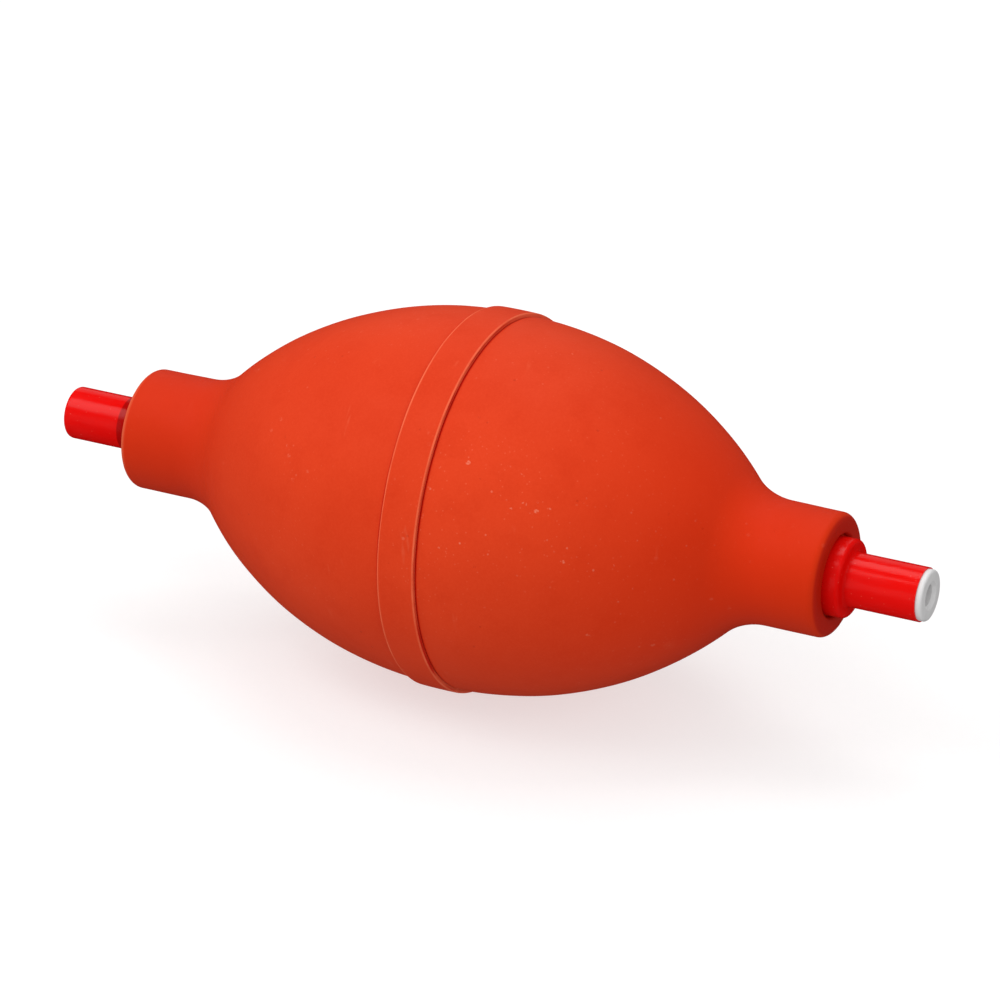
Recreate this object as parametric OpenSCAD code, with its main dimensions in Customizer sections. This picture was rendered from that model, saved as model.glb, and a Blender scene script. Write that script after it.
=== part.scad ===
// Siphon bulb pump: a moulded rubber bulb with a one-way ball valve in each
// neck. Liquid is drawn in at the -X end and pushed out at the +X end.
// Millimetres, +Z up. The axis of the bulb is X, and the origin is on that
// axis in the plane of the seam between the two bulb halves.

/* [Bulb] */
// Largest diameter of the rubber bulb, under the seam band
bulb_d = 66.4; // [50:0.2:84]
// Radius of the lengthwise arc of the belly
belly_arc_r = 65.5; // [58:0.5:84]
// Thickness of the rubber wall of the belly
wall = 2.5; // [1.6:0.1:3.4]
// Width of the straight land at the seam of the two halves
seam_land = 4; // [2:0.5:6]

/* [Seam band] */
// Width of the band that covers the seam
band_w = 6.9; // [5:0.1:10]
// Thickness of the band on the land
band_t = 0.65; // [0.5:0.05:1.4]
// Rounding of the outer edges of the band
band_edge_r = 0.3; // [0.1:0.05:0.4]

/* [Necks] */
// Outside diameter of each neck
neck_d = 21.8; // [18:0.1:27]
// Length of the straight part of each neck
neck_len = 11; // [9:0.1:20]
// Hollow blend between the belly and a neck
neck_blend_r = 12; // [5:0.5:14]
// Rounding of the outer rim of each neck
neck_rim_r = 1.5; // [0.8:0.1:2]
// Depth of the recess in the mouth of each neck
mouth_depth = 1.3; // [0.8:0.1:2]
// Gap round the valve collar in the mouth recess
mouth_gap = 0.45; // [0.2:0.05:0.8]
// Rounding of the edge of the mouth recess
mouth_edge_r = 0.5; // [0.2:0.1:0.7]
// Width of the flat ring round the bore on the inside of each neck
neck_seat_w = 2; // [1:0.1:3]

/* [Valve body] */
// Diameter of the barrel that the rubber neck grips
barrel_d = 12; // [10:0.1:14.4]
// Height of the collar above the barrel
collar_step = 0.9; // [0.3:0.05:1.2]
// Length of the collar
collar_len = 3.9; // [2.5:0.1:5]
// Rounding of the rims of the collar
collar_edge_r = 0.7; // [0.2:0.1:0.9]
// Outside diameter of the hose stubs
stub_d = 9.5; // [7.9:0.1:11.4]
// Length by which the seat end of the barrel stands out of the inlet neck
barrel_out = 1.8; // [0:0.1:3]
// Length of the stub at the seat end of the valve
seat_stub_len = 13.4; // [10:0.1:20]
// Length of the stub at the stop end of the valve
stop_stub_len = 13.1; // [8:0.1:20]
// Rounding of the tip of the seat end stub
stub_tip_r = 0.8; // [0.3:0.1:1.2]
// Hollow rounding between the seat end stub and the barrel
seat_root_r = 1.2; // [0.3:0.1:1.8]
// Hollow rounding between the stop end stub and the collar
stop_root_r = 0.5; // [0.2:0.1:1]

/* [Valve inside] */
// Diameter of the passage through the valve
port_d = 3.9; // [3.2:0.1:4.7]
// Width and depth of the bevel that leads the ball into its seat
seat_bevel = 0.35; // [0.1:0.05:0.5]
// How far the ball reaches past the port all round
ball_lap = 0.55; // [0.3:0.05:0.8]
// Gap for the flow between the ball and the wall of its chamber
flow_gap = 0.8; // [0.5:0.05:1]
// Depth of the chamber floor past the seat end of the barrel
chamber_floor = 2; // [1:0.1:4]
// Axial travel of the ball from its seat to its stop
ball_travel = 2; // [1:0.1:3]
// Gap left between the ball and its seat, and between the ball and its stop
ball_gap = 0.12; // [0.08:0.01:0.3]
// Thickness of the rubber seat ring
seat_t = 1.6; // [1:0.1:2.5]

/* [Stop tube] */
// Step from the stub down to the head of the stop tube
head_step = 0.25; // [0.1:0.05:0.4]
// Thickness of the head of the stop tube
head_t = 1.1; // [1:0.1:2.5]
// Rounding of the outer edge of the head
head_edge_r = 0.45; // [0.2:0.05:0.7]
// Width and depth of the countersink in the head
head_sink = 0.6; // [0.2:0.05:0.9]
// Width of the flow slots at the ball end of the tube
slot_w = 1.5; // [1:0.1:2]
// Length of the flow slots
slot_len = 2.4; // [1.5:0.1:4]

/* [Squeeze] */
// Length along the bulb of the stretch of wall that a palm presses
press_len = 60; // [50:1:62]
// Width across the bulb of that stretch of wall
press_w = 40; // [32:1:46]
// Gap round the pressed stretch
press_gap = 0.3; // [0.2:0.05:0.5]

/* [Hidden] */

$fn = 96;
arc_steps = 8;        // straight steps in a small rounding
belly_steps = 28;     // straight steps along the belly
over = 1;             // how far a cutter runs past what it cuts

bulb_r = bulb_d / 2;
barrel_r = barrel_d / 2;
collar_r = barrel_r + collar_step;
stub_r = stub_d / 2;
head_r = stub_r - head_step;
port_r = port_d / 2;
ball_r = port_r + ball_lap;
chamber_r = ball_r + flow_gap;
neck_r = neck_d / 2;

// Lengthwise arcs of the belly, outside and inside, share one centre
belly_x = seam_land / 2;
belly_c = bulb_r - belly_arc_r;
inner_arc_r = belly_arc_r - wall;

// Centre of the hollow blend, which touches both the belly and the neck
blend_r = neck_r + neck_blend_r;
blend_x = belly_x + sqrt(pow(belly_arc_r + neck_blend_r, 2) - pow(blend_r - belly_c, 2));
blend_angle = atan2(blend_r - belly_c, blend_x - belly_x);

// Along the axis: the end of each neck, the floor of its mouth recess, and the
// flat ring on the inside of the neck where the inlet valve's collar bears
neck_end = blend_x + neck_len;
mouth_floor = neck_end - mouth_depth;
mouth_r = collar_r + mouth_gap;
rim_r = min(neck_rim_r, neck_r - mouth_r - mouth_edge_r);
neck_seat_r = barrel_r + neck_seat_w;
neck_seat_x = belly_x + sqrt(pow(inner_arc_r, 2) - pow(neck_seat_r - belly_c, 2));
inner_angle = atan2(neck_seat_r - belly_c, neck_seat_x - belly_x);

// Stations along a valve, from the tip of its seat end stub. A rounding is no
// larger than the step that it fills.
root_r = min(seat_root_r, barrel_r - stub_r);
barrel_len = neck_end + barrel_out - neck_seat_x;
barrel_u = seat_stub_len;
collar_u = barrel_u + barrel_len;
stop_stub_u = collar_u + collar_len;
body_end_u = stop_stub_u + stop_stub_len;
floor_u = barrel_u + chamber_floor;
seat_face_u = floor_u + seat_t;
// The closed ball lies over the foot of the bevel, and the open ball over the
// edge of the stop tube, and both edges have the radius of the port
ball_reach = sqrt(pow(ball_r, 2) - pow(port_r, 2)) + ball_gap;
ball_u = seat_face_u - seat_bevel + ball_reach;
stop_u = ball_u + ball_travel + ball_reach;

// Where each valve's seat end tip is on the axis of the bulb
inlet_x = -neck_seat_x - collar_u;
outlet_x = mouth_floor - collar_u;

// Points of an arc in [along, radius] form, from angle a0 to angle a1
function arc(cx, cr, r, a0, a1, n = arc_steps) =
    [for (i = [0 : n]) let (a = a0 + (a1 - a0) * i / n) [cx + r * cos(a), cr + r * sin(a)]];

// Turns an outline in [along, radius] form about the X axis
module turned(outline) {
    rotate([0, 90, 0])
        rotate_extrude()
            polygon([for (p = outline) [p[1], p[0]]]);
}

// Outside of one bulb half, from the seam to the rim of the neck
function half_outside() = concat(
    [[0, bulb_r]],
    arc(belly_x, belly_c, belly_arc_r, 90, blend_angle, belly_steps),
    arc(blend_x, blend_r, neck_blend_r, blend_angle + 180, 270),
    arc(neck_end - rim_r, neck_r - rim_r, rim_r, 90, 0)
);

// Inside of one bulb half, from the mouth of the neck back to the seam
function half_inside() = concat(
    arc(neck_end - mouth_edge_r, mouth_r + mouth_edge_r, mouth_edge_r, 0, -90),
    [[mouth_floor, mouth_r], [mouth_floor, barrel_r], [neck_seat_x, barrel_r]],
    arc(belly_x, belly_c, inner_arc_r, inner_angle, 90, belly_steps),
    [[0, bulb_r - wall]]
);

// The outlet half of the bulb, whole
module half_shell() {
    turned(concat(half_outside(), half_inside()));
}

// The inlet half is the same moulding turned end for end
module inlet_side() {
    mirror([1, 0, 0]) children();
}

// Upright column over the stretch of wall that the palm presses
module press_column(gap) {
    end_r = press_w / 2 + gap;
    end_x = press_len / 2 - press_w / 2;
    linear_extrude(bulb_r + band_t + over) {
        for (x = [-end_x, end_x])
            translate([x, 0]) circle(end_r);
        square([2 * end_x, 2 * end_r], center = true);
    }
}

module half_frame() {
    difference() {
        half_shell();
        press_column(press_gap);
    }
}

module half_press_wall() {
    intersection() {
        half_shell();
        press_column(0);
    }
}

// Band over the seam, shaped inside to the belly that it is bonded to
module band() {
    half_w = band_w / 2;
    top_r = bulb_r + band_t;
    difference() {
        turned(concat(
            [[-half_w, bulb_r - over]],
            arc(-half_w + band_edge_r, top_r - band_edge_r, band_edge_r, 180, 90),
            arc(half_w - band_edge_r, top_r - band_edge_r, band_edge_r, 90, 0),
            [[half_w, bulb_r - over]]
        ));
        turned(concat([[0, 0]], half_outside(), [[neck_end, 0]]));
        inlet_side() turned(concat([[0, 0]], half_outside(), [[neck_end, 0]]));
    }
}

// Valve body, from the tip of the seat end stub to the end of the stop stub
module valve_body() {
    turned(concat(
        [[0, port_r]],
        arc(stub_tip_r, stub_r - stub_tip_r, stub_tip_r, 180, 90),
        arc(barrel_u - root_r, stub_r + root_r, root_r, 270, 360),
        [[barrel_u, barrel_r], [collar_u, barrel_r], [collar_u, collar_r]],
        arc(stop_stub_u - collar_edge_r, collar_r - collar_edge_r, collar_edge_r, 90, 0),
        arc(stop_stub_u + stop_root_r, stub_r + stop_root_r, stop_root_r, 180, 270),
        [[body_end_u, stub_r], [body_end_u, chamber_r]],
        [[floor_u, chamber_r], [floor_u, port_r]]
    ));
}

// Rubber seat ring, bevelled towards the ball
module seat_ring() {
    turned([
        [floor_u, port_r], [floor_u, chamber_r],
        [seat_face_u, chamber_r], [seat_face_u, port_r + seat_bevel],
        [seat_face_u - seat_bevel, port_r]
    ]);
}

module ball() {
    translate([ball_u, 0, 0]) sphere(ball_r);
}

// Stop tube, pressed into the chamber until its head meets the stub
module stop_tube() {
    end_u = body_end_u + head_t;
    difference() {
        turned(concat(
            [[stop_u, port_r], [stop_u, chamber_r], [body_end_u, chamber_r], [body_end_u, head_r]],
            arc(end_u - head_edge_r, head_r - head_edge_r, head_edge_r, 90, 0),
            [[end_u, port_r + head_sink], [end_u - head_sink, port_r]]
        ));
        for (turn = [0, 90])
            rotate([turn, 0, 0])
                translate([stop_u - over, -slot_w / 2, -chamber_r - over])
                    cube([slot_len + over, slot_w, 2 * (chamber_r + over)]);
    }
}

module at_inlet() {
    translate([inlet_x, 0, 0]) children();
}

module at_outlet() {
    translate([outlet_x, 0, 0]) children();
}

module bulb_half_inlet() { color("orangered") inlet_side() half_frame(); }
module bulb_half_outlet() { color("orangered") half_frame(); }
module seam_band() {
    color("orangered")
        difference() {
            band();
            press_column(press_gap);
        }
}
module inlet_valve_body() { color("red") at_inlet() valve_body(); }
module inlet_seat_ring() { color("dimgray") at_inlet() seat_ring(); }
module inlet_ball() { color("silver") at_inlet() ball(); }
module inlet_stop_tube() { color("white") at_inlet() stop_tube(); }
module outlet_valve_body() { color("red") at_outlet() valve_body(); }
module outlet_seat_ring() { color("dimgray") at_outlet() seat_ring(); }
module outlet_ball() { color("silver") at_outlet() ball(); }
module outlet_stop_tube() { color("white") at_outlet() stop_tube(); }
module press_wall_inlet() { color("tomato") inlet_side() half_press_wall(); }
module press_wall_outlet() { color("tomato") half_press_wall(); }
module press_band() {
    color("tomato")
        intersection() {
            band();
            press_column(0);
        }
}

bulb_half_inlet();
bulb_half_outlet();
seam_band();
inlet_valve_body();
inlet_seat_ring();
inlet_ball();
inlet_stop_tube();
outlet_valve_body();
outlet_seat_ring();
outlet_ball();
outlet_stop_tube();
press_wall_inlet();
press_wall_outlet();
press_band();
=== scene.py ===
import math

import bmesh
import bpy
from mathutils import Matrix, Vector, noise


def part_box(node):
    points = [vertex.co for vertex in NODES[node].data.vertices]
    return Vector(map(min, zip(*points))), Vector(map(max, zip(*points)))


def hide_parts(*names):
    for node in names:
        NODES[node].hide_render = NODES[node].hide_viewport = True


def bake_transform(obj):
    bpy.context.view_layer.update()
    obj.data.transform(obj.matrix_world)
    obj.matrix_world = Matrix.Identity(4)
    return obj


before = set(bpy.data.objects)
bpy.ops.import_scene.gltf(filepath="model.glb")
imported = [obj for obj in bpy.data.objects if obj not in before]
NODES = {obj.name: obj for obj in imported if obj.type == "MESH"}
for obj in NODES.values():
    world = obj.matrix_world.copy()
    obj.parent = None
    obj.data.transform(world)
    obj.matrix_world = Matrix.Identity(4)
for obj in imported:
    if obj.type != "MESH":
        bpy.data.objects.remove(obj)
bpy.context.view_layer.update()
MM = 0.001

# ---------------------------------------------------------------- sizes, in mm
# The first five come from the CAD boxes. The rest, down to NECK_SEAT_R, repeat the design's own values.
half_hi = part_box("bulb_half_outlet")[1]
band_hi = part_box("seam_band")[1]
body_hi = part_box("outlet_valve_body")[1]

NECK_END = half_hi[0] / MM
BULB_R = half_hi[1] / MM
BAND_HALF = band_hi[0] / MM
BAND_R = band_hi[1] / MM
COLLAR_R = body_hi[1] / MM
BELLY_ARC_R = 65.5
SEAM_LAND = 4.0
WALL = 2.5
NECK_R = 10.9
NECK_BLEND_R = 12.0
RIM_R = 1.5
BARREL_R = 6.0
MOUTH_GAP = 0.45
MOUTH_DEPTH = 1.3
MOUTH_EDGE_R = 0.5
NECK_SEAT_R = 8.0

GROOVE = 0.11                  # depth of the crease where the band meets the belly
GROOVE_AT = 0.02               # its middle, outward from the band's side
GROOVE_WIDTH = 0.13
BAND_SINK = 0.30               # how far the band reaches into the belly
BAND_EDGE_R = 0.22             # rounding of the band's outer edges
BAND_EDGE_DROP = 0.08          # straight side below that rounding
BAND_CROWN = 0.05              # rise of the band's top in its middle
EDGE_REACH = 1.2               # how far from the band's side the belly follows its wandering edge
NECK_FADE = 8.0                # the unevenness fades out over this length before the neck's end

BELLY_X = SEAM_LAND / 2
BELLY_C = BULB_R - BELLY_ARC_R
BLEND_C = NECK_R + NECK_BLEND_R
BLEND_X = BELLY_X + math.sqrt((BELLY_ARC_R + NECK_BLEND_R) ** 2 - (BLEND_C - BELLY_C) ** 2)
BLEND_A = math.atan2(BLEND_C - BELLY_C, BLEND_X - BELLY_X)
TOUCH_X = BELLY_X + BELLY_ARC_R * math.cos(BLEND_A)
MOUTH_R = COLLAR_R + MOUTH_GAP


def belly(x):
    """Outside radius of the belly at a station, under the band as well."""
    x = max(abs(x), BELLY_X)
    return BELLY_C + math.sqrt(BELLY_ARC_R ** 2 - (x - BELLY_X) ** 2)


def wander(side, turn):
    """How far an edge of the band strays along the bulb, in mm, round the seam."""
    slow = noise.noise(Vector((math.cos(turn) * 1.7, math.sin(turn) * 1.7, 5.0 * side)))
    quick = noise.noise(Vector((math.cos(turn) * 6.0, math.sin(turn) * 6.0, 9.0 * side)))
    return 0.13 * slow + 0.05 * quick


def swell(p):
    """Slight unevenness of moulded rubber, in mm, at a point in mm."""
    slow = noise.noise(Vector(p) / 26.0)
    quick = noise.noise(Vector(p) / 9.0 + Vector((3.1, 7.7, 1.3)))
    return 0.20 * slow + 0.05 * quick


# ---------------------------------------------------------------- meshes
def arc(cx, cr, r, a0, a1, n):
    """Points on an arc in n equal steps, from angle a0 to a1 in degrees."""
    return [
        (cx + r * math.cos(math.radians(a0 + (a1 - a0) * i / n)),
         cr + r * math.sin(math.radians(a0 + (a1 - a0) * i / n)))
        for i in range(n + 1)
    ]


SHARP_ANGLE = math.radians(35.0)


def lathe(name, outline, steps, shift):
    """Closed solid of revolution about X from a closed outline in mm.

    shift(x, r, turn) gives the place of a ring's point, which lets a turned
    shape be slightly uneven.
    """
    pts = []
    for i in range(steps):
        turn = 2 * math.pi * i / steps
        for x, r in outline:
            sx, sr = shift(x, r, turn)
            pts.append((sx * MM, -sr * math.sin(turn) * MM, sr * math.cos(turn) * MM))
    n = len(outline)
    faces = []
    for i in range(steps):
        j = (i + 1) % steps
        for k in range(n):
            m = (k + 1) % n
            faces.append((i * n + k, j * n + k, j * n + m, i * n + m))
    mesh = bpy.data.meshes.new(name)
    mesh.from_pydata(pts, [], faces)
    mesh.validate()
    mesh.update()
    mesh.shade_smooth()
    mesh.set_sharp_from_angle(angle=SHARP_ANGLE)
    obj = bpy.data.objects.new(name, mesh)
    bpy.context.scene.collection.objects.link(obj)
    return obj


def fix_normals(obj):
    """Turns every face outward."""
    bm = bmesh.new()
    bm.from_mesh(obj.data)
    bmesh.ops.recalc_face_normals(bm, faces=bm.faces)
    bm.to_mesh(obj.data)
    bm.free()


BELLY_STEP = 0.9
NECK_STEP = 0.8


def half_outline():
    """Section of the outlet half, from the seam round the neck and back."""
    out = []
    # Stations along the belly: a few under the band, close ones at the crease, then even steps
    xs = [0.0, 1.0, 2.0, 2.8, 3.1]
    close = (-0.20, -0.12, -0.06, 0.0, 0.05, 0.1, 0.16, 0.24, 0.34, 0.46, 0.62, 0.85)
    xs += [BAND_HALF + d for d in close]
    x = xs[-1]
    while x < TOUCH_X - 1.2:
        x += BELLY_STEP
        xs.append(x)
    for x in xs:
        dip = GROOVE * math.exp(-((x - BAND_HALF - GROOVE_AT) / GROOVE_WIDTH) ** 2)
        out.append((x, belly(x) - dip))
    out += arc(BLEND_X, BLEND_C, NECK_BLEND_R, math.degrees(BLEND_A) + 180, 270, 14)
    x = BLEND_X
    while x < NECK_END - RIM_R - 1.0:
        x += NECK_STEP
        out.append((x, NECK_R))
    out += arc(NECK_END - RIM_R, NECK_R - RIM_R, RIM_R, 90, 0, 14)
    out += arc(NECK_END - MOUTH_EDGE_R, MOUTH_R + MOUTH_EDGE_R, MOUTH_EDGE_R, 0, -90, 6)
    floor_x = NECK_END - MOUTH_DEPTH
    out += [(floor_x, MOUTH_R), (floor_x, BARREL_R)]
    inner = BELLY_ARC_R - WALL
    seat_x = BELLY_X + math.sqrt(inner ** 2 - (NECK_SEAT_R - BELLY_C) ** 2)
    out += [(seat_x, BARREL_R)]
    a0 = math.degrees(math.atan2(NECK_SEAT_R - BELLY_C, seat_x - BELLY_X))
    out += arc(BELLY_X, BELLY_C, inner, a0, 90, 40)
    out.append((0.0, BULB_R - WALL))
    return out


def is_outer(x, r):
    """Whether a point of the half's section is on its outside."""
    if x < TOUCH_X:
        return r > NECK_R - 2.0 and r > belly(x) - WALL * 0.5
    return r > NECK_R - 0.6


def half_shift(sign):
    """The shift for one half: sign is 1 for the outlet half and -1 for the inlet half."""
    def shift(x, r, turn):
        outer = is_outer(x, r)
        from_edge = abs(x - BAND_HALF)
        sx = x
        if outer and from_edge < EDGE_REACH:
            sx = x + wander(sign, turn) * max(0.0, 1 - from_edge / EDGE_REACH)
        if outer:
            fade = min(1.0, max(0.0, (NECK_END - x) / NECK_FADE))
            p = (sign * sx, -r * math.sin(turn), r * math.cos(turn))
            r += swell(p) * fade
        return sign * sx, r
    return shift


def band_outline():
    """Section of the band: undercut sides, rounded shoulders, a faintly crowned top."""
    w = BAND_HALF
    e = BAND_EDGE_R
    right = [
        (w - 0.07, belly(w) - BAND_SINK),
        (w - 0.05, belly(w) - 0.12),
        (w - 0.02, belly(w) + 0.12),
        (w, BAND_R - e - BAND_EDGE_DROP),
    ]
    right += arc(w - e, BAND_R - e, e, 0, 90, 5)
    top = []
    n = 14
    for i in range(1, n):
        x = (w - e) * (1 - 2 * i / n)
        top.append((x, BAND_R + BAND_CROWN * (1 - (x / w) ** 2)))
    left = [(-x, r) for x, r in reversed(right)]
    under = [(x, BULB_R - BAND_SINK) for x in (-SEAM_LAND / 2, 0.0, SEAM_LAND / 2)]
    return right + top + left + under


BAND_STEADY = 1.5              # half the width of the band's middle, which doesn't wander


def band_shift(x, r, turn):
    """The shift for the band: its two edges wander, its middle stays."""
    side = 1 if x > 0 else -1
    near = max(0.0, (abs(x) - BAND_STEADY) / (BAND_HALF - BAND_STEADY))
    sx = x + side * wander(side, turn) * min(1.0, near)
    p = (sx, -r * math.sin(turn), r * math.cos(turn))
    return sx, r + swell(p)


STEPS = 224
outlet_half = lathe("bulb_outlet_skin", half_outline(), STEPS, half_shift(1))
inlet_half = lathe("bulb_inlet_skin", half_outline(), STEPS, half_shift(-1))
band = lathe("seam_band_skin", band_outline(), STEPS * 2, band_shift)
for piece in (outlet_half, inlet_half, band):
    fix_normals(piece)

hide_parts("bulb_half_outlet", "press_wall_outlet")
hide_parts("bulb_half_inlet", "press_wall_inlet")
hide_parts("seam_band", "press_band")


# ---------------------------------------------------------------- materials
class Shader:
    """A node material on the Principled shader, built from short calls."""

    def __init__(self, name, **sockets):
        self.mat = bpy.data.materials.new(name)
        self.mat.use_nodes = True
        self.tree = self.mat.node_tree
        self.tree.nodes.clear()
        out = self.tree.nodes.new("ShaderNodeOutputMaterial")
        self.main = self.tree.nodes.new("ShaderNodeBsdfPrincipled")
        self.tree.links.new(self.main.outputs[0], out.inputs[0])
        for key, value in sockets.items():
            self.main.inputs[key.replace("_", " ")].default_value = value
        self.coords = self.tree.nodes.new("ShaderNodeTexCoord").outputs["Object"]

    def put(self, socket, value):
        if isinstance(value, bpy.types.NodeSocket):
            self.tree.links.new(value, socket)
        elif isinstance(value, tuple) and len(value) == 3 and len(socket.default_value) == 4:
            socket.default_value = (*value, 1.0)
        else:
            socket.default_value = value

    def math(self, op, a, b=0.0):
        node = self.tree.nodes.new("ShaderNodeMath")
        node.operation = op
        self.put(node.inputs[0], a)
        self.put(node.inputs[1], b)
        return node.outputs[0]

    def scale(self, factor, vector=None):
        node = self.tree.nodes.new("ShaderNodeMapping")
        self.put(node.inputs["Vector"], vector or self.coords)
        node.inputs["Scale"].default_value = factor
        return node.outputs[0]

    def noise(self, scale, detail=2.0, rough=0.5, vector=None, distortion=0.0):
        node = self.tree.nodes.new("ShaderNodeTexNoise")
        self.put(node.inputs["Vector"], vector or self.coords)
        node.inputs["Scale"].default_value = scale
        node.inputs["Detail"].default_value = detail
        node.inputs["Roughness"].default_value = rough
        node.inputs["Distortion"].default_value = distortion
        return node.outputs[0]

    def cells(self, scale, vector=None):
        node = self.tree.nodes.new("ShaderNodeTexVoronoi")
        self.put(node.inputs["Vector"], vector or self.coords)
        node.inputs["Scale"].default_value = scale
        return node.outputs["Distance"]

    def ramp(self, value, lo, hi, a=0.0, b=1.0):
        node = self.tree.nodes.new("ShaderNodeMapRange")
        node.interpolation_type = "SMOOTHSTEP"
        self.put(node.inputs["Value"], value)
        for key, v in zip(("From Min", "From Max", "To Min", "To Max"), (lo, hi, a, b)):
            node.inputs[key].default_value = v
        return node.outputs[0]

    def mix(self, factor, a, b):
        """Colour from a to b. Sockets 6 and 7 are its colours, and output 2 is its result."""
        node = self.tree.nodes.new("ShaderNodeMix")
        node.data_type = "RGBA"
        self.put(node.inputs[0], factor)
        self.put(node.inputs[6], a)
        self.put(node.inputs[7], b)
        return node.outputs[2]

    def xyz(self):
        node = self.tree.nodes.new("ShaderNodeSeparateXYZ")
        self.put(node.inputs[0], self.coords)
        return node.outputs

    def bump(self, *layers):
        """Each layer is a height from 0 to 1 and its depth in metres."""
        normal = None
        for height, depth in layers:
            node = self.tree.nodes.new("ShaderNodeBump")
            node.inputs["Strength"].default_value = 1.0
            node.inputs["Distance"].default_value = depth
            self.put(node.inputs["Height"], height)
            if normal:
                self.put(node.inputs["Normal"], normal)
            normal = node.outputs[0]
        self.put(self.main.inputs["Normal"], normal)


def rubber(name, band_edges=False):
    """Matt orange-red rubber. band_edges is for the band, the rest is for the halves."""
    s = Shader(name, Specular_IOR_Level=0.08, IOR=1.5)
    slow = s.noise(26, 2.0, 0.5)
    mottle = s.noise(140, 4.0, 0.6)
    grain = s.noise(2400, 3.0, 0.6)
    colour = s.mix(s.ramp(slow, 0.30, 0.70), (0.71, 0.043, 0.0082), (0.77, 0.053, 0.0115))
    colour = s.mix(s.ramp(mottle, 0.42, 0.80, 0.0, 0.55), colour, (0.67, 0.036, 0.0060))
    colour = s.mix(s.ramp(grain, 0.35, 0.75, 0.0, 0.14), colour, (0.86, 0.090, 0.030))

    # Pale dust specks, in loose drifts and mostly on the outlet half, and a few darker pits
    drift = s.ramp(s.noise(34, 2.0, 0.5, s.scale((1.0, 1.0, 1.6))), 0.40, 0.66)
    outlet_side = s.ramp(s.xyz()[0], -0.006, 0.014, 0.40, 1.0)
    drift = s.math("MULTIPLY", drift, outlet_side)
    broken = s.ramp(s.noise(1500, 2.0, 0.6), 0.40, 0.56)
    speck = s.math("MULTIPLY", s.ramp(s.cells(500), 0.15, 0.05), drift)
    speck = s.math("MULTIPLY", speck, broken)
    dust = s.math("MULTIPLY", s.ramp(s.cells(900), 0.17, 0.08), s.ramp(slow, 0.42, 0.62))
    pit_cells = s.cells(190, s.scale((1.0, 1.3, 1.1)))
    pit = s.math("MULTIPLY", s.ramp(pit_cells, 0.065, 0.035), broken)
    colour = s.mix(s.math("MULTIPLY", dust, 0.22), colour, (0.90, 0.22, 0.12))
    colour = s.mix(s.math("MULTIPLY", speck, 0.55), colour, (0.93, 0.30, 0.19))

    # A few larger, ragged chips of dust that lie close together
    chip_cells = s.cells(240, s.scale((1.0, 0.8, 1.3)))
    patch = s.ramp(s.noise(52, 2.0, 0.5), 0.52, 0.62)
    chip = s.math("MULTIPLY", s.ramp(chip_cells, 0.13, 0.07), patch)
    chip = s.math("MULTIPLY", s.math("MULTIPLY", chip, broken), outlet_side)
    colour = s.mix(s.math("MULTIPLY", chip, 0.52), colour, (0.93, 0.32, 0.20))
    colour = s.mix(s.math("MULTIPLY", pit, 0.35), colour, (0.42, 0.018, 0.004))

    # Short scuffs, drawn out round and along the bulb
    rub = s.noise(120, 3.0, 0.55, s.scale((2.6, 0.7, 0.9)), 0.4)
    scuff = s.math("MULTIPLY", s.ramp(rub, 0.66, 0.74), s.ramp(mottle, 0.40, 0.60))
    colour = s.mix(s.math("MULTIPLY", scuff, 0.16), colour, (0.88, 0.20, 0.10))

    # The necks are a deeper red than the belly
    along = s.math("ABSOLUTE", s.xyz()[0])
    colour = s.mix(s.ramp(along, 0.036, 0.056, 0.0, 0.75), colour, (0.64, 0.026, 0.0035))
    # The outlet half turns redder towards its neck
    outlet_end = s.ramp(s.xyz()[0], 0.016, 0.046, 0.0, 0.55)
    colour = s.mix(outlet_end, colour, (0.68, 0.026, 0.0016))
    if band_edges:
        # The band's edges carry a painted highlight, pale in patches where the rounded edges catch the
        # light, and its sides carry painted shade
        edge = (BAND_HALF - 0.42) * MM
        patchy = s.ramp(mottle, 0.25, 0.6, 0.35, 1.0)
        edge_highlight = s.math("MULTIPLY", s.ramp(along, edge, edge + 0.25 * MM), patchy)
        colour = s.mix(s.math("MULTIPLY", edge_highlight, 0.62), colour, (0.96, 0.20, 0.09))
        # Painted shade: the band's sides are painted dark red where the crease beside them lies in
        # shade
        side = s.ramp(along, (BAND_HALF - 0.02) * MM, (BAND_HALF + 0.05) * MM)
        colour = s.mix(s.math("MULTIPLY", side, 0.85), colour, (0.60, 0.003, 0.001))
    else:
        # Painted shade: the belly is painted dark in the crease beside the band, where shade falls
        crease_shade = s.ramp(along, (BAND_HALF + 0.50) * MM, (BAND_HALF + 0.14) * MM)
        colour = s.mix(s.math("MULTIPLY", crease_shade, 0.92), colour, (0.54, 0.002, 0.001))
        # Painted shade: the flat end of the outlet neck is painted a dark red, where it faces away from
        # the light
        end_face_shade = s.ramp(s.xyz()[0], (NECK_END - 0.60) * MM, (NECK_END - 0.15) * MM)
        colour = s.mix(s.math("MULTIPLY", end_face_shade, 0.60), colour, (0.40, 0.0015, 0.0015))
        # Painted highlight: the rim of the inlet neck is painted pale in patches, where its rounding
        # catches the light
        rim_highlight = s.ramp(s.xyz()[0], -(NECK_END - 1.3) * MM, -(NECK_END - 0.5) * MM)
        rim_highlight = s.math("MULTIPLY", rim_highlight, s.ramp(mottle, 0.25, 0.60, 0.45, 1.0))
        colour = s.mix(s.math("MULTIPLY", rim_highlight, 0.45), colour, (0.93, 0.22, 0.10))

    s.put(s.main.inputs["Base Color"], colour)
    rough = s.math("ADD", s.ramp(mottle, 0.3, 0.7, 0.50, 0.60), s.math("MULTIPLY", scuff, 0.08))
    s.put(s.main.inputs["Roughness"], rough)
    s.bump(
        (s.noise(330, 3.0, 0.5), 0.000050),
        (grain, 0.000012),
        (speck, 0.000030),
        (s.math("SUBTRACT", 1.0, pit), 0.000030),
        (scuff, 0.000010),
    )
    return s.mat


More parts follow.
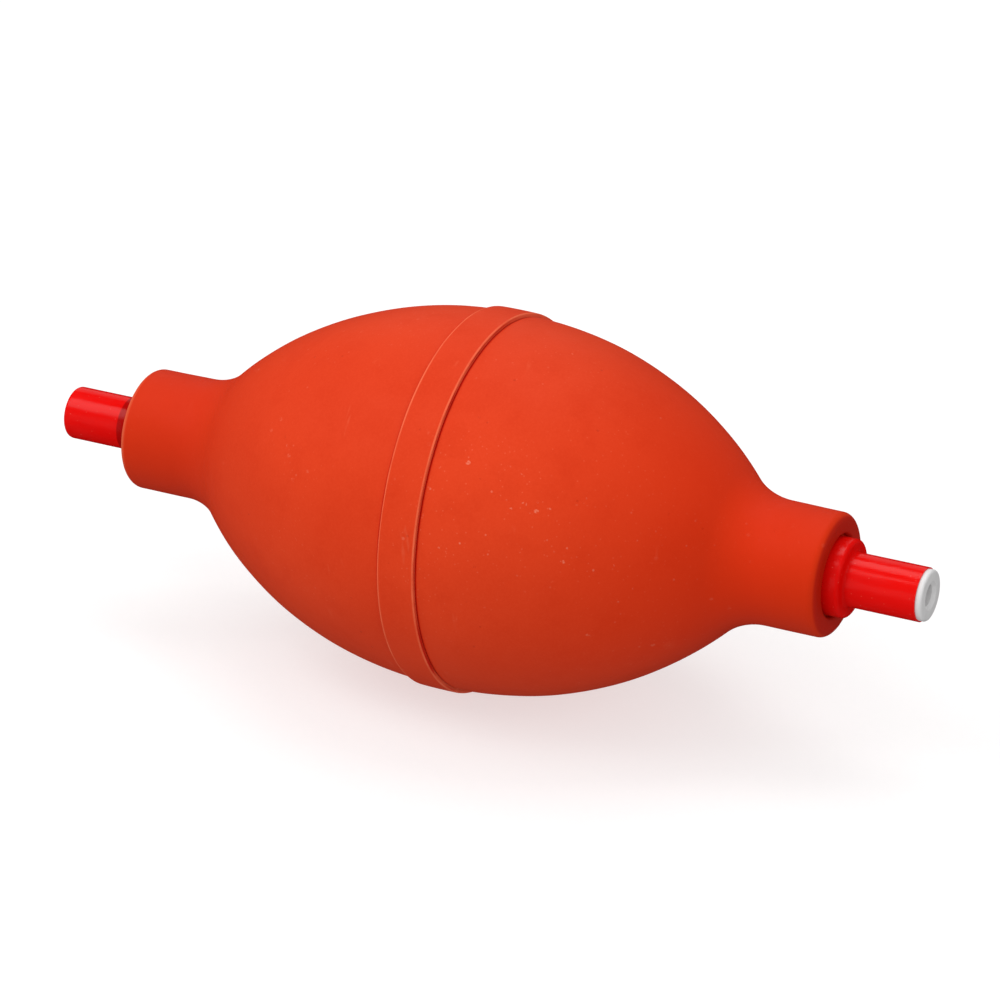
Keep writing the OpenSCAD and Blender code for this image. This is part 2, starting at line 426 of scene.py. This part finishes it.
def gloss_plastic(name):
    """Glossy red plastic of the valve bodies, faintly drawn out along the part."""
    s = Shader(name, Specular_IOR_Level=0.16, IOR=1.5)
    slow = s.noise(70, 2.0, 0.5)
    drawn = s.noise(420, 3.0, 0.55, s.scale((0.22, 1.0, 1.0)), 0.2)
    fine = s.noise(3000, 2.0, 0.5)
    colour = s.mix(s.ramp(slow, 0.3, 0.7), (0.80, 0.0030, 0.0020), (0.86, 0.0045, 0.0030))
    colour = s.mix(s.ramp(drawn, 0.50, 0.85, 0.0, 0.25), colour, (0.70, 0.0020, 0.0015))
    dust = s.ramp(s.cells(800), 0.12, 0.05)
    colour = s.mix(s.math("MULTIPLY", dust, 0.35), colour, (0.90, 0.16, 0.12))
    # Painted shade: the inlet body is darker from about 4 mm outside its neck inwards, a shadow ring at
    # the foot of the stub
    foot_shade = s.ramp(s.xyz()[0], -(NECK_END + 4.1) * MM, -(NECK_END + 3.8) * MM)
    foot_shade = s.math("MULTIPLY", foot_shade, s.ramp(s.xyz()[0], 0.0, -0.010))
    colour = s.mix(s.math("MULTIPLY", foot_shade, 0.80), colour, (0.34, 0.0012, 0.0010))
    s.put(s.main.inputs["Base Color"], colour)
    s.put(s.main.inputs["Roughness"], s.ramp(drawn, 0.3, 0.75, 0.14, 0.26))
    s.bump((drawn, 0.000055), (s.noise(900, 2.0, 0.5), 0.000012), (fine, 0.000003))
    return s.mat


def satin_plastic(name):
    """Satin white plastic of the stop tubes."""
    s = Shader(name, Specular_IOR_Level=0.4, IOR=1.46)
    slow = s.noise(160, 3.0, 0.5)
    fine = s.noise(2600, 2.0, 0.5)
    colour = s.mix(s.ramp(slow, 0.3, 0.7), (0.74, 0.73, 0.73), (0.82, 0.81, 0.81))
    dust = s.ramp(s.cells(1100), 0.12, 0.05)
    colour = s.mix(s.math("MULTIPLY", dust, 0.4), colour, (0.55, 0.50, 0.48))
    s.put(s.main.inputs["Base Color"], colour)
    s.put(s.main.inputs["Roughness"], s.ramp(slow, 0.3, 0.7, 0.38, 0.50))
    s.bump((slow, 0.000020), (fine, 0.000004))
    return s.mat


def seat_rubber(name):
    """Black rubber of the seat rings."""
    s = Shader(name, Specular_IOR_Level=0.35)
    slow = s.noise(300, 3.0, 0.6)
    fine = s.noise(3600, 3.0, 0.6)
    colour = s.mix(s.ramp(slow, 0.3, 0.7), (0.018, 0.018, 0.019), (0.034, 0.033, 0.033))
    s.put(s.main.inputs["Base Color"], colour)
    s.put(s.main.inputs["Roughness"], s.ramp(fine, 0.3, 0.7, 0.50, 0.70))
    s.bump((slow, 0.000020), (fine, 0.000008))
    return s.mat


def ball_steel(name):
    """Lapped steel of the valve balls."""
    s = Shader(name, Metallic=1.0)
    slow = s.noise(500, 3.0, 0.6)
    lap = s.noise(2600, 4.0, 0.65, s.scale((0.15, 1.0, 1.0)), 0.6)
    colour = s.mix(s.ramp(slow, 0.3, 0.7), (0.58, 0.58, 0.59), (0.68, 0.67, 0.66))
    s.put(s.main.inputs["Base Color"], colour)
    s.put(s.main.inputs["Roughness"], s.ramp(lap, 0.3, 0.75, 0.14, 0.30))
    s.bump((lap, 0.000004))
    return s.mat


RUBBER = rubber("rubber_orange")
BAND_RUBBER = rubber("rubber_orange_band", band_edges=True)
RED = gloss_plastic("plastic_red")
WHITE = satin_plastic("plastic_white")
BLACK = seat_rubber("rubber_black")
STEEL = ball_steel("steel_ball")

for piece, mat in ((outlet_half, RUBBER), (inlet_half, RUBBER), (band, BAND_RUBBER)):
    piece.data.materials.append(mat)
    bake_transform(piece)

LOOKS = {
    "inlet_valve_body": RED, "outlet_valve_body": RED,
    "inlet_stop_tube": WHITE, "outlet_stop_tube": WHITE,
    "inlet_seat_ring": BLACK, "outlet_seat_ring": BLACK,
    "inlet_ball": STEEL, "outlet_ball": STEEL,
}
for node, mat in LOOKS.items():
    for slot in NODES[node].material_slots:
        slot.material = mat


# ---------------------------------------------------------------- camera
TILT = math.radians(23.5)      # axis of the bulb out of the image plane
SLOPE = math.radians(12.15)    # fall of the axis to the right in the image
DISTANCE = 0.900
SENSOR = 36.0
VIEW_WIDTH = 174.978           # mm across the frame, at the distance of the seam
SIDE_STEP = 2.9134             # how far right of the seam centre the camera stands, in mm
DROP = 0.0752                  # how far below it, in mm

azimuth = math.acos(math.cos(TILT) * math.cos(SLOPE))
elevation = math.asin(math.cos(TILT) * math.sin(SLOPE) / math.sin(azimuth))
back = Vector((
    math.sin(azimuth) * math.cos(elevation),
    -math.cos(azimuth) * math.cos(elevation),
    math.sin(elevation),
))
right = Vector((math.cos(azimuth), math.sin(azimuth), 0.0))
up = back.cross(right)

cam_data = bpy.data.cameras.new("camera")
cam = bpy.data.objects.new("camera", cam_data)
bpy.context.scene.collection.objects.link(cam)
cam_data.sensor_width = SENSOR
cam_data.lens = SENSOR * DISTANCE / (VIEW_WIDTH * MM)
cam_data.clip_start = 0.01
cam_data.clip_end = 20.0
place = back * DISTANCE + right * SIDE_STEP * MM - up * DROP * MM
cam.matrix_world = Matrix.Translation(place) @ Matrix((right, up, back)).transposed().to_4x4()
bpy.context.scene.camera = cam


# ---------------------------------------------------------------- floor and light
FLOOR_GAP = 0.0004             # from the band's nominal radius down to the floor, in metres
FLOOR_SIZE = 4.0
FLOOR_CELLS = 8
FLOOR_GLOW = 0.60
LIGHT_AT = 1.3                 # distance of each light from the seam centre, in metres
LIGHT_SIZE = 0.7
WORLD_GLOW = 0.49


def floor():
    """A flat pale floor under the part."""
    z = -BAND_R * MM - FLOOR_GAP
    n = FLOOR_CELLS
    row = n + 1
    marks = [FLOOR_SIZE * (i / n - 0.5) for i in range(row)]
    pts = [(x, y, z) for y in marks for x in marks]
    faces = [
        (j * row + i, j * row + i + 1, (j + 1) * row + i + 1, (j + 1) * row + i)
        for j in range(n) for i in range(n)
    ]
    mesh = bpy.data.meshes.new("floor")
    mesh.from_pydata(pts, [], faces)
    obj = bpy.data.objects.new("floor", mesh)
    bpy.context.scene.collection.objects.link(obj)
    s = Shader("floor_paper", Specular_IOR_Level=0.1, Roughness=0.9)
    s.main.inputs["Emission Color"].default_value = (1.0, 1.0, 1.0, 1.0)
    s.main.inputs["Emission Strength"].default_value = FLOOR_GLOW
    paper = s.noise(900, 3.0, 0.5)
    colour = s.mix(s.ramp(paper, 0.3, 0.7), (0.45, 0.45, 0.45), (0.47, 0.47, 0.47))
    s.put(s.main.inputs["Base Color"], colour)
    obj.data.materials.append(s.mat)
    return obj


def area(name, where, power):
    """A square white light that faces the seam centre."""
    data = bpy.data.lights.new(name, "AREA")
    data.shape = "RECTANGLE"
    data.size = LIGHT_SIZE
    data.size_y = LIGHT_SIZE
    data.energy = power
    obj = bpy.data.objects.new(name, data)
    bpy.context.scene.collection.objects.link(obj)
    turn = where.to_track_quat("Z", "Y").to_matrix().to_4x4()
    obj.matrix_world = Matrix.Translation(where) @ turn
    return obj


ground = floor()
ground.visible_glossy = False
ground.visible_diffuse = False


def seen(x, y, z):
    """A point from the camera's own right, up and back, in metres."""
    return right * x + up * y + back * z


# Each light's direction, as parts to the camera's right, up and back, and its power in watts
LIGHTS = {
    "left_top": (-0.75, 0.75, 0.45, 4.5),
    "left_low": (-0.8, -0.25, 0.7, 5.1),
    "top": (0.0, 1.0, 0.15, 4.5),
    "front_top": (0.0, 0.65, 1.0, 1.0),
    "front_right": (0.6, 0.15, 1.0, 2.8),
    "back_top": (0.0, 0.9, -0.7, 0.8),
}
NO_HIGHLIGHT = ("front_right", "left_low")
for name, (x, y, z, power) in LIGHTS.items():
    way = Vector((x, y, z)).normalized() * LIGHT_AT
    lamp = area(name, seen(*way), power)
    lamp.visible_glossy = name not in NO_HIGHLIGHT

world = bpy.data.worlds.new("world")
world.use_nodes = True
bpy.context.scene.world = world
background = world.node_tree.nodes["Background"]
background.inputs[0].default_value = (1.0, 1.0, 1.0, 1.0)
background.inputs[1].default_value = WORLD_GLOW
world.cycles_visibility.glossy = False

view = bpy.context.scene.view_settings
view.view_transform = "Standard"
view.look = "None"
view.exposure = 0.0
